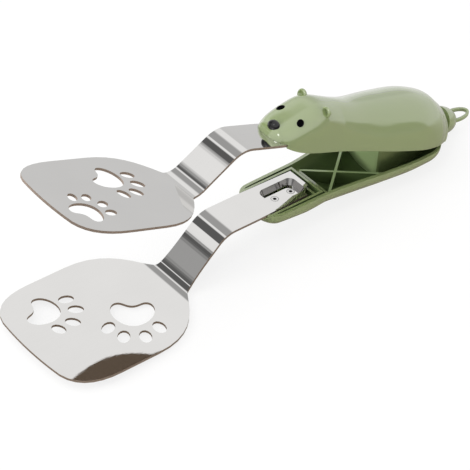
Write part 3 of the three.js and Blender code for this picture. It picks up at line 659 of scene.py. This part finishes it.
class SteelSettings(bpy.types.PropertyGroup):
    """Finish of the steel pieces."""

    colour: FloatVectorProperty(
        name="Steel", description="Colour of the sheet",
        subtype="COLOR", default=(0.81, 0.80, 0.785), min=0, max=1,
    )
    # Partly painted highlight: the sheared edge's warm light tan stands in for the bright line the edges
    # catch; its duller, lined finish is its own
    edge_highlight_colour: FloatVectorProperty(
        name="Cut edge", description="Colour of the sheared edge",
        subtype="COLOR", default=(0.6, 0.49, 0.42), min=0, max=1,
    )
    # Painted reflection: a dark warm brown on the sheet's bottom faces stands in for the dark warm
    # surroundings they mirror; those faces are also rougher
    painted_reflection_under_colour: FloatVectorProperty(
        name="Underside", description="Colour of the unpolished underside",
        subtype="COLOR", default=(0.36, 0.29, 0.245), min=0, max=1,
    )
    # Painted shade: a darker grey on the drawn pocket's walls stands in for the dark they show
    pocket_wall_shade_colour: FloatVectorProperty(
        name="Pocket wall", description="Colour of the drawn pocket's walls",
        subtype="COLOR", default=(0.5, 0.49, 0.48), min=0, max=1,
    )
    roughness: FloatProperty(
        name="Roughness", description="Roughness of the polished sheet", default=0.012, min=0, max=1,
    )
    edge_round: FloatProperty(
        name="Edge rounding", description="Rounding of the sheet's edges", default=0.00022,
        subtype="DISTANCE", unit="LENGTH",
    )


class StageSettings(bpy.types.PropertyGroup):
    """Camera and studio light."""

    focal: FloatProperty(
        name="Focal length", description="Lens on a 36 mm sensor", default=193.86, subtype="DISTANCE_CAMERA",
    )
    fill: FloatProperty(name="Fill", description="Level of the all-round light", default=0.68, min=0)
    key: FloatProperty(
        name="Key light", description="Power of the overhead softbox", default=14.0, unit="POWER", min=0,
    )
    left: FloatProperty(
        name="Left softbox", description="Power of the softbox on the far left",
        default=6.0, unit="POWER", min=0,
    )
    spark: FloatProperty(
        name="Spark", description="Power of the small panel that lights the highlights",
        default=1.2, unit="POWER", min=0,
    )
    side: FloatProperty(
        name="Side light", description="Power of the warm low light", default=7.0, unit="POWER", min=0,
    )


class TongsSettings(bpy.types.PropertyGroup):
    """All settings of the tongs."""

    handle: PointerProperty(type=HandleSettings)
    steel: PointerProperty(type=SteelSettings)
    stage: PointerProperty(type=StageSettings)


def joined(bm, other):
    """Adds the second bmesh to the first."""
    spare = bpy.data.meshes.new("spare")
    other.to_mesh(spare)
    other.free()
    bm.from_mesh(spare)
    bpy.data.meshes.remove(spare)


def ear_bmesh(side):
    """A small rounded ear, cupped on its front."""
    cup_depth, cup_reach, thickness = 1.35, 0.72, 0.53
    lean = math.radians(-20 * side)
    bm = bmesh.new()
    bmesh.ops.create_uvsphere(bm, u_segments=40, v_segments=24, radius=EAR_RADIUS * MM)
    bmesh.ops.rotate(bm, matrix=Matrix.Rotation(math.pi / 2, 3, "Y"), verts=bm.verts)
    for vertex in bm.verts:
        if vertex.co.x < 0:
            out = math.hypot(vertex.co.y, vertex.co.z) / (EAR_RADIUS * MM)
            vertex.co.x *= 1 - cup_depth * max(0.0, 1 - (out / cup_reach) ** 2)
    bmesh.ops.scale(bm, vec=(thickness, 1, 1), verts=bm.verts)
    bmesh.ops.rotate(bm, matrix=Matrix.Rotation(lean, 3, "X"), verts=bm.verts)
    place = Vector((EAR_AT, side * EAR_ACROSS, EAR_HEIGHT)) * MM
    bmesh.ops.translate(bm, vec=place, verts=bm.verts)
    bmesh.ops.transform(bm, matrix=UPPER, verts=bm.verts)
    return bm


class TONGS_OT_bear(bpy.types.Operator):
    """Upper half of the handle: a bear's body and head over the steel tang"""

    bl_idname = "tongs.bear"
    bl_label = "Bear shell"

    def execute(self, context):
        size = settings().handle
        form = bear_form()
        plastic = green_plastic("bear plastic", size.colour, size.warm)
        skin = skin_bmesh(form, 240, 80)
        surface = BVHTree.FromBMesh(skin)
        clear_box(skin, *BEAR_TANG_WINDOW)
        clear_box(skin, *BEAR_SHAFT_WINDOW)
        whole = walled("bear_skin", skin, UPPER, size.wall, "upper_arm", [plastic])
        for side in (-1, 1):
            joined(whole, ear_bmesh(side))
        fittings = fittings_bmesh(
            "upper_shell", surface, UPPER, size.wall, lambda p: abs(p.x - EAR_AT) < 5 and p.z > 16
        )
        joined(whole, fittings)
        shell = new_piece("bear_shell", whole, "upper_arm", [plastic], ["upper_shell"])
        sharpen(shell, SHARP)
        return {"FINISHED"}


class TONGS_OT_tray(bpy.types.Operator):
    """Lower half of the handle: the open tray with its ribs and hinge housing"""

    bl_idname = "tongs.tray"
    bl_label = "Tray"

    def execute(self, context):
        size = settings().handle
        form = tray_form()
        plastic = green_plastic("tray plastic", size.colour, size.warm)
        # The inside finish is painted shade, a darker and duller copy of the green
        inside = green_plastic("tray inside", size.inside, [c * 1.1 for c in size.inside], 0.0, 0.4, 0.15)
        # The ribs finish is painted light, a lighter copy of the green
        bright = green_plastic("tray ribs", size.ribs, [c * 1.1 for c in size.ribs], 0.3, 0.3)
        skin = skin_bmesh(form, 220, 72)
        surface = BVHTree.FromBMesh(skin)
        clear_box(skin, *TRAY_TANG_WINDOW)
        rear = [face for face in skin.faces if face.calc_center_median().x > 0]
        tilted = (math.sin(OPEN_ANGLE), 0, math.cos(OPEN_ANGLE))
        cut_across(skin, rear, (0, 0, 0), tilted, clear_outer=True)
        # The wall's inner face takes the last finish, the painted shade of the inside
        whole = walled("tray_skin", skin, LOWER, TRAY_WALL, "lower_arm", [plastic, inside])
        fittings = fittings_bmesh("lower_shell", surface, LOWER, TRAY_WALL, lambda p: False)
        fittings.normal_update()
        # Painted light on the ribs' tops and the housing's front face, painted shade on the other faces in
        # front of the housing that don't face up
        for face in fittings.faces:
            x = (LOWER.inverted() @ face.calc_center_median()).x / MM
            faces_up = face.normal.z > 0.7
            on_housing_face = HOUSING_FACE[0] < x < HOUSING_FACE[1] and face.normal.x < -0.8
            if on_housing_face or RIBS_START < x < HOUSING_FACE[0] and faces_up:
                face.material_index = 2
            else:
                face.material_index = 0 if x > HOUSING_FACE[0] or faces_up else 1
        joined(whole, fittings)
        tones = [plastic, inside, bright]
        shell = new_piece("tray_shell", whole, "lower_arm", tones, ["lower_shell"])
        sharpen(shell, SHARP)
        return {"FINISHED"}


class Course:
    """The top face of one steel arm seen from the side: tang, bend, neck, bend back and blade."""

    def __init__(self, top, bend_at, run, drop):
        first, second = BEND_RADII
        self.lean = math.atan2(drop, run)
        self.start = -(bend_at - first * math.tan(self.lean / 2))
        self.top = top
        self.low_centre = Vector((self.start, top - first))
        neck = math.hypot(run, drop) - (first + second) * math.tan(self.lean / 2)
        self.neck_start = first * self.lean
        self.neck_end = self.neck_start + neck
        self.normal = Vector((-math.sin(self.lean), math.cos(self.lean)))
        self.heading = Vector((-math.cos(self.lean), -math.sin(self.lean)))
        self.neck_point = self.low_centre + self.normal * first
        self.high_centre = self.neck_point + self.heading * neck + self.normal * second

    def along(self, x, z):
        """How far past the start of the first bend a point lies, and how steeply the sheet runs there."""
        first, second = BEND_RADII
        if x > self.start:
            return self.start - x, 0.0
        spot = Vector((x, z))
        run = (spot - self.neck_point).dot(self.heading)
        if run < 0:
            out = spot - self.low_centre
            lean = math.atan2(-out.x, out.y)
            return first * lean, lean
        if run < self.neck_end - self.neck_start:
            return self.neck_start + run, self.lean
        out = spot - self.high_centre
        lean = math.atan2(out.x, -out.y)
        if lean > 0:
            return self.neck_end + second * (self.lean - lean), lean
        return self.neck_end + second * self.lean + self.high_centre.x - x, 0.0


def swollen(swell, run, end):
    """The sheet's extra lean at a run: its swell and a fine ripple, which fade out at both ends."""
    middle, reach, most = swell
    lean = most * math.cos(min(abs(run - middle) / reach, 1) * math.pi / 2) ** 2
    ripple = 0.35 * math.sin(7.3 * run) * math.sin(2.9 * run + 1)
    fade_length = 4
    fade = min(max(run, 0), max(end - run, 0), fade_length) / fade_length
    return math.radians(fade * (lean + ripple))


def steel_piece(name, node, place, body):
    """A finer copy of one steel arm, with rounded edges, a duller finish and a painted highlight on the
    sheared edges, a painted reflection on its bottom faces and painted shade on its pocket's walls.
    """
    steel = settings().steel
    course = Course(*ARMS[node])
    bends_end = course.neck_end + BEND_RADII[1] * course.lean
    bm = bmesh.new()
    bm.from_mesh(frame["nodes"][node].data)
    bmesh.ops.remove_doubles(bm, verts=bm.verts, dist=MERGE)
    bmesh.ops.dissolve_limit(
        bm, angle_limit=math.radians(0.5), verts=bm.verts, edges=bm.edges, delimit={"NORMAL"}
    )
    back = place.inverted()
    turn = back.to_3x3()
    bmesh.ops.transform(bm, matrix=back, verts=bm.verts)
    slice_length, last_slice = 0.35, course.high_centre.x + 0.6
    x = course.start
    while x > last_slice:
        near = [f for f in bm.faces if min(v.co.x for v in f.verts) < x * MM < max(v.co.x for v in f.verts)]
        cut_across(bm, near, (x * MM, 0, 0), (1, 0, 0))
        x -= slice_length
    # Tops keep the bright sheet; the sheared sides get the edge finish with its painted highlight, the bottom
    # faces a painted reflection, the pocket's walls painted shade
    for face in bm.faces:
        middle = face.calc_center_median() / MM
        in_pocket = POCKET[0] < middle.x < POCKET[1] and abs(middle.y) < POCKET_HALF_WIDTH
        if in_pocket:
            face.material_index = 0 if face.normal.z > 0.9 else 3
        else:
            face.material_index = 0 if face.normal.z > 0.6 else 2 if face.normal.z < -0.6 else 1
    bmesh.ops.transform(bm, matrix=place, verts=bm.verts)
    sheet = polished_steel(name + " steel", steel.colour, 0.12, steel.roughness)
    # Edge: painted highlight; bottom faces: painted reflection; pocket walls: painted shade
    edge = cut_edge_steel(name + " edge", steel.edge_highlight_colour)
    under = polished_steel(name + " underside", steel.painted_reflection_under_colour, 0.2, 0.12)
    wall = polished_steel(name + " pocket wall", steel.pocket_wall_shade_colour, 0.12, 0.08)
    piece = new_piece(name, bm, body, [sheet, edge, under, wall], [node])
    round_edges(piece, steel.edge_round, math.radians(40))
    keep_flat(piece, 90)
    bake(piece)
    mesh = piece.data
    normals = [corner.vector.copy() for corner in mesh.corner_normals]
    for polygon in mesh.polygons:
        if abs((turn @ polygon.normal).y) > 0.05:
            continue
        middle = back @ polygon.center / MM
        run, lean = course.along(middle.x, middle.z)
        flat = Vector((-math.sin(lean), 0, math.cos(lean)))
        face_side = (turn @ polygon.normal).dot(flat)
        if abs(face_side) < 0.98 or not 0 < run < bends_end:
            continue
        for index in polygon.loop_indices:
            spot = back @ mesh.vertices[mesh.loops[index].vertex_index].co / MM
            run, lean = course.along(spot.x, spot.z)
            lean += swollen(SWELLS[node], run, bends_end)
            normal = Vector((-math.sin(lean), 0, math.cos(lean))) * math.copysign(1, face_side)
            normals[index] = place.to_3x3() @ normal
    mesh.normals_split_custom_set(normals)
    return piece


class TONGS_OT_blades(bpy.types.Operator):
    """Both steel arms with their turner blades, paw cut-outs and drawn pockets"""

    bl_idname = "tongs.blades"
    bl_label = "Steel blades"

    def execute(self, context):
        steel_piece("blade_lower", "lower_blade", LOWER, "lower_arm")
        steel_piece("blade_upper", "upper_blade", UPPER, "upper_arm")
        return {"FINISHED"}


class TONGS_OT_face(bpy.types.Operator):
    """Black bead eyes and nose"""

    bl_idname = "tongs.face"
    bl_label = "Eyes and nose"

    def execute(self, context):
        eye = black_plastic("eye black", 0.5, 0.0)
        face = skin_bmesh(bear_form(), 120, 48)
        surface = BVHTree.FromBMesh(face)
        face.free()
        for node in ("eye_near", "eye_far"):
            low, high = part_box(node)
            spot = UPPER.inverted() @ ((low + high) / 2) + Vector(EYE_SHIFT) * MM
            seat, out, _, _ = surface.find_nearest(spot)
            side = out.cross(Vector((0.0, 0.0, 1.0))).normalized()
            turn = Matrix((side, side.cross(out), out)).transposed().to_4x4()
            bm = bmesh.new()
            bmesh.ops.create_uvsphere(bm, u_segments=40, v_segments=24, radius=1)
            bmesh.ops.scale(bm, vec=Vector(EYE_SIZE) * MM, verts=bm.verts)
            bmesh.ops.transform(bm, matrix=UPPER @ Matrix.Translation(seat) @ turn, verts=bm.verts)
            new_piece("bead_" + node, bm, "upper_arm", [eye], [node])
        low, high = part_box("nose")
        bm = bmesh.new()
        bmesh.ops.create_uvsphere(bm, u_segments=48, v_segments=32, radius=1)
        bmesh.ops.scale(bm, vec=(high - low) / 2, verts=bm.verts)
        bmesh.ops.translate(bm, vec=(low + high) / 2, verts=bm.verts)
        shine = black_plastic("nose black", 0.08, 0.6)
        new_piece("bead_nose", bm, "upper_arm", [shine], ["nose"])
        return {"FINISHED"}


class TONGS_OT_tail(bpy.types.Operator):
    """Tail pull with its hanging loop, and the slider that locks the tongs closed"""

    bl_idname = "tongs.tail"
    bl_label = "Tail pull and lock"

    def execute(self, context):
        size = settings().handle
        plastic = green_plastic("tail plastic", size.colour, size.warm)
        whole = bmesh.new()
        half = bmesh.new()
        steps = 20
        rail = [half.verts.new((CAP_START * MM, 0, 0))]
        for i in range(steps + 1):
            angle = math.pi / 2 * i / steps
            along = CAP_START + CAP_DEPTH * math.sin(angle)
            rail.append(half.verts.new((along * MM, CAP_RADIUS * math.cos(angle) * MM, 0)))
        edges = [half.edges.new(pair) for pair in zip(rail, rail[1:])]
        bmesh.ops.spin(
            half, geom=rail + edges, cent=(0, 0, 0), axis=(1, 0, 0), angle=math.tau, steps=64, use_merge=True
        )
        bmesh.ops.remove_doubles(half, verts=half.verts, dist=FINE_MERGE)
        bmesh.ops.recalc_face_normals(half, faces=half.faces)
        bmesh.ops.translate(half, vec=(0, 0, CAP_CENTRE * MM), verts=half.verts)
        joined(whole, half)
        joined(whole, loop_bmesh())
        bmesh.ops.transform(whole, matrix=UPPER, verts=whole.verts)
        pull = new_piece("pull_tail", whole, "lock", [plastic], ["tail_pull"])
        sharpen(pull, math.radians(40))
        slider = frame["nodes"]["lock_slider"]
        slider.data.materials.clear()
        slider.data.materials.append(plastic)
        return {"FINISHED"}


def loop_bmesh():
    """The flat oval loop behind the tail: a band spun into a circle, then drawn in to an oval."""
    circle = 10 * MM
    half_band = 0.95
    half_height = 1.2
    long_share, wide_share = 0.965, 0.455
    bm = bmesh.new()
    made = bmesh.ops.create_circle(bm, segments=20, radius=1)
    for vertex in made["verts"]:
        angle = math.atan2(vertex.co.y, vertex.co.x)
        wide = powered(math.cos(angle), 0.6) * half_band
        tall = powered(math.sin(angle), 0.6) * half_height
        vertex.co = Vector((wide, 0, tall)) * MM
    bmesh.ops.translate(bm, vec=(circle, 0, 0), verts=bm.verts)
    band = bm.verts[:] + bm.edges[:]
    bmesh.ops.spin(bm, geom=band, cent=(0, 0, 0), axis=(0, 0, 1), angle=math.tau, steps=72, use_merge=True)
    bmesh.ops.remove_doubles(bm, verts=bm.verts, dist=FINE_MERGE)
    for vertex in bm.verts:
        out = math.hypot(vertex.co.x, vertex.co.y)
        share = (out - circle) / out
        ring = vertex.co.xy * (1 - share)
        side = vertex.co.xy.normalized() * (out - circle)
        vertex.co.x = ring.x * long_share + side.x
        vertex.co.y = ring.y * wide_share + side.y
    bmesh.ops.recalc_face_normals(bm, faces=bm.faces)
    bmesh.ops.translate(bm, vec=(0, 0, -half_height * MM), verts=bm.verts)
    bmesh.ops.rotate(bm, matrix=Matrix.Rotation(LOOP_LIFT, 3, "Y"), verts=bm.verts)
    bmesh.ops.translate(bm, vec=(LOOP_AT * MM, 0, LOOP_HEIGHT * MM), verts=bm.verts)
    behind = [v for v in bm.verts if v.co.x < LOOP_START * MM]
    bmesh.ops.delete(bm, geom=behind, context="VERTS")
    return bm


class TONGS_OT_fasteners(bpy.types.Operator):
    """Screws, hinge pin and torsion spring"""

    bl_idname = "tongs.fasteners"
    bl_label = "Screws, pin and spring"

    def execute(self, context):
        bright = polished_steel("screw steel", (0.5, 0.5, 0.5), 0.2, 0.22)
        wire = polished_steel("spring wire", (0.34, 0.34, 0.35), 0.25, 0.3)
        for name, node in frame["nodes"].items():
            if "screw" in name:
                low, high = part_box(name)
                head = Vector(((low.x + high.x) / 2, (low.y + high.y) / 2, high.z))
                finish = screw_steel(name + " steel", (0.8, 0.79, 0.78), head, SOCKET_SHADE_RADIUS * MM)
            elif name == "torsion_spring":
                finish = wire
            elif name == "hinge_pin":
                finish = bright
            else:
                continue
            node.data.materials.clear()
            node.data.materials.append(finish)
            sharpen_node(node)
        return {"FINISHED"}


def sharpen_node(node):
    """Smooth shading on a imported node, broken at its sharp edges by a modifier."""
    node.data.shade_smooth()
    step = node.modifiers.new("sharp edges", "EDGE_SPLIT")
    step.split_angle = SHARP


def area_light(name, spot, aim, size, power, colour):
    """A rectangular panel of light that looks at a point."""
    lamp = bpy.data.lights.new(name, "AREA")
    lamp.shape = "RECTANGLE"
    lamp.size, lamp.size_y = size
    lamp.energy = power
    lamp.color = colour
    made = bpy.data.objects.new(name, lamp)
    made.location = spot
    made.rotation_euler = (aim - spot).to_track_quat("-Z", "Y").to_euler()
    bpy.context.scene.collection.objects.link(made)
    return made


class TONGS_OT_stage(bpy.types.Operator):
    """Pale floor, soft studio light and the camera"""

    bl_idname = "tongs.stage"
    bl_label = "Stage"

    def execute(self, context):
        stage = settings().stage
        self.floor()
        self.world(stage.fill)
        middle = Vector((0, 0, 0.04))
        # Name, place and size in metres, power, colour, and whether the steel mirrors the panel
        lamps = (
            ("key light", (-0.5, 0.3, 1.25), (1.6, 1.6), stage.key, (1.0, 0.985, 0.96), False),
            ("left softbox", (-1.05, 0.35, 0.46), (0.5, 0.3), stage.left, (1.0, 0.99, 0.97), False),
            ("side light", (0.8, -0.95, 0.08), (1.0, 0.3), stage.side, (1.0, 0.83, 0.85), False),
            ("spark", (-0.5, -0.2, 1.2), (0.3, 0.3), stage.spark, (1.0, 1.0, 1.0), True),
        )
        for name, spot, size, power, colour, mirrored in lamps:
            area_light(name, Vector(spot), middle, size, power, colour).visible_glossy = mirrored
        self.camera(stage.focal)
        return {"FINISHED"}

    def floor(self):
        """A pale table. Its mirror image is dark and warm, and pale again behind the tongs."""
        bm = bmesh.new()
        bmesh.ops.create_grid(bm, x_segments=1, y_segments=1, size=4)
        mesh = bpy.data.meshes.new("floor")
        bm.to_mesh(mesh)
        bm.free()
        floor = bpy.data.objects.new("floor", mesh)
        bpy.context.scene.collection.objects.link(floor)
        paint = Recipe(bpy.data.materials.new("pale floor"))
        path = paint.node("ShaderNodeLightPath")
        glossy = path.out("Is Glossy Ray")
        seen = (path.out("Is Camera Ray") + glossy + path.out("Is Transmission Ray")) * 0.82
        matt = paint.node("ShaderNodeBsdfDiffuse", None, {"Color": grey(0.84)})
        spot = paint.node("ShaderNodeSeparateXYZ", None, {0: paint.node("ShaderNodeTexCoord").out("Object")})
        across = spot.out(1) + spot.out(0) * 0.6
        behind = paint.spread(across, 0.05, 0.2)
        mirrored = paint.blend(behind, (0.18, 0.15, 0.1, 1.0), grey(0.9))
        tone = paint.blend(glossy, grey(1.0), mirrored)
        white = paint.node("ShaderNodeEmission", None, {"Color": tone, "Strength": 1.0})
        both = paint.node("ShaderNodeMixShader", None, {0: seen, 1: matt.out(0), 2: white.out(0)})
        paint.node("ShaderNodeOutputMaterial", None, {"Surface": both.out(0)})
        mesh.materials.append(paint.owner)

    def world(self, fill):
        """What the pieces mirror, the even light from all round, and the white that the camera sees."""
        world = bpy.data.worlds.new("studio")
        bpy.context.scene.world = world
        paint = Recipe(world)
        path = paint.node("ShaderNodeLightPath")
        way = paint.node("ShaderNodeTexCoord").out("Generated")
        axes = paint.node("ShaderNodeSeparateXYZ", None, {0: way})
        turn = paint.maths("ARCTAN2", axes.out(2), axes.out(0))
        share = turn / math.radians(180)
        stops = [(edge / 180, grey(tone)) for *edges, tone in STUDIO_CARDS for edge in edges]
        cards = paint.node("ShaderNodeValToRGB", {"stops": stops}, {0: share}).out(0)
        height = paint.maths("ARCSINE", axes.out(2), 0.0) / math.pi + 0.5
        stops = [((angle + 90) / 180, grey(level)) for angle, level in FRONT]
        front = paint.node("ShaderNodeValToRGB", {"stops": stops}, {0: height}).out(0)
        far_right = paint.spread(axes.out(0), 0.25, 0.45)
        not_near = paint.spread(axes.out(1), -0.52, -0.46)
        front = paint.blend(far_right * not_near, front, grey(0.9))
        ahead = paint.spread(axes.out(1), 0.535, 0.47)
        plain = paint.blend(path.out("Is Glossy Ray"), grey(fill), paint.blend(ahead, cards, front))
        seen = path.out("Is Camera Ray") + path.out("Is Transmission Ray")
        tone = paint.blend(seen, plain, grey(1.0))
        back = paint.node("ShaderNodeBackground", None, {"Color": tone, "Strength": 1.0})
        paint.node("ShaderNodeOutputWorld", None, {"Surface": back.out(0)})

    def camera(self, focal):
        lens = bpy.data.cameras.new("camera")
        lens.lens = focal
        lens.sensor_width = 36
        lens.clip_end = 20
        camera = bpy.data.objects.new("camera", lens)
        right = Vector(CAMERA_RIGHT)
        view = Vector(CAMERA_VIEW)
        turn = Matrix((right, right.cross(view), -view)).transposed().to_4x4()
        camera.matrix_world = LOWER @ Matrix.Translation(Vector(CAMERA_AT) * MM) @ turn
        bpy.context.scene.collection.objects.link(camera)
        bpy.context.scene.camera = camera
        bpy.context.scene.view_settings.view_transform = "Standard"


OPERATORS = (
    TONGS_OT_bear,
    TONGS_OT_tray,
    TONGS_OT_blades,
    TONGS_OT_face,
    TONGS_OT_tail,
    TONGS_OT_fasteners,
    TONGS_OT_stage,
)


class VIEW3D_PT_tongs(bpy.types.Panel):
    """Builds the pieces of the tongs one by one"""

    bl_label = "Spatula Tongs"
    bl_space_type = "VIEW_3D"
    bl_region_type = "UI"
    bl_category = "Tongs"

    def draw(self, context):
        for step in OPERATORS:
            self.layout.operator(step.bl_idname, text=step.bl_label)


CLASSES = (HandleSettings, SteelSettings, StageSettings, TongsSettings, *OPERATORS, VIEW3D_PT_tongs)


def register():
    for made in CLASSES:
        bpy.utils.register_class(made)
    bpy.types.Scene.tongs = PointerProperty(type=TongsSettings)


def unregister():
    del bpy.types.Scene.tongs
    for made in reversed(CLASSES):
        bpy.utils.unregister_class(made)


def main():
    register()
    bpy.ops.tongs.bear()
    bpy.ops.tongs.tray()
    bpy.ops.tongs.blades()
    bpy.ops.tongs.face()
    bpy.ops.tongs.tail()
    bpy.ops.tongs.fasteners()
    bpy.ops.tongs.stage()


if __name__ == "__main__":
    main()
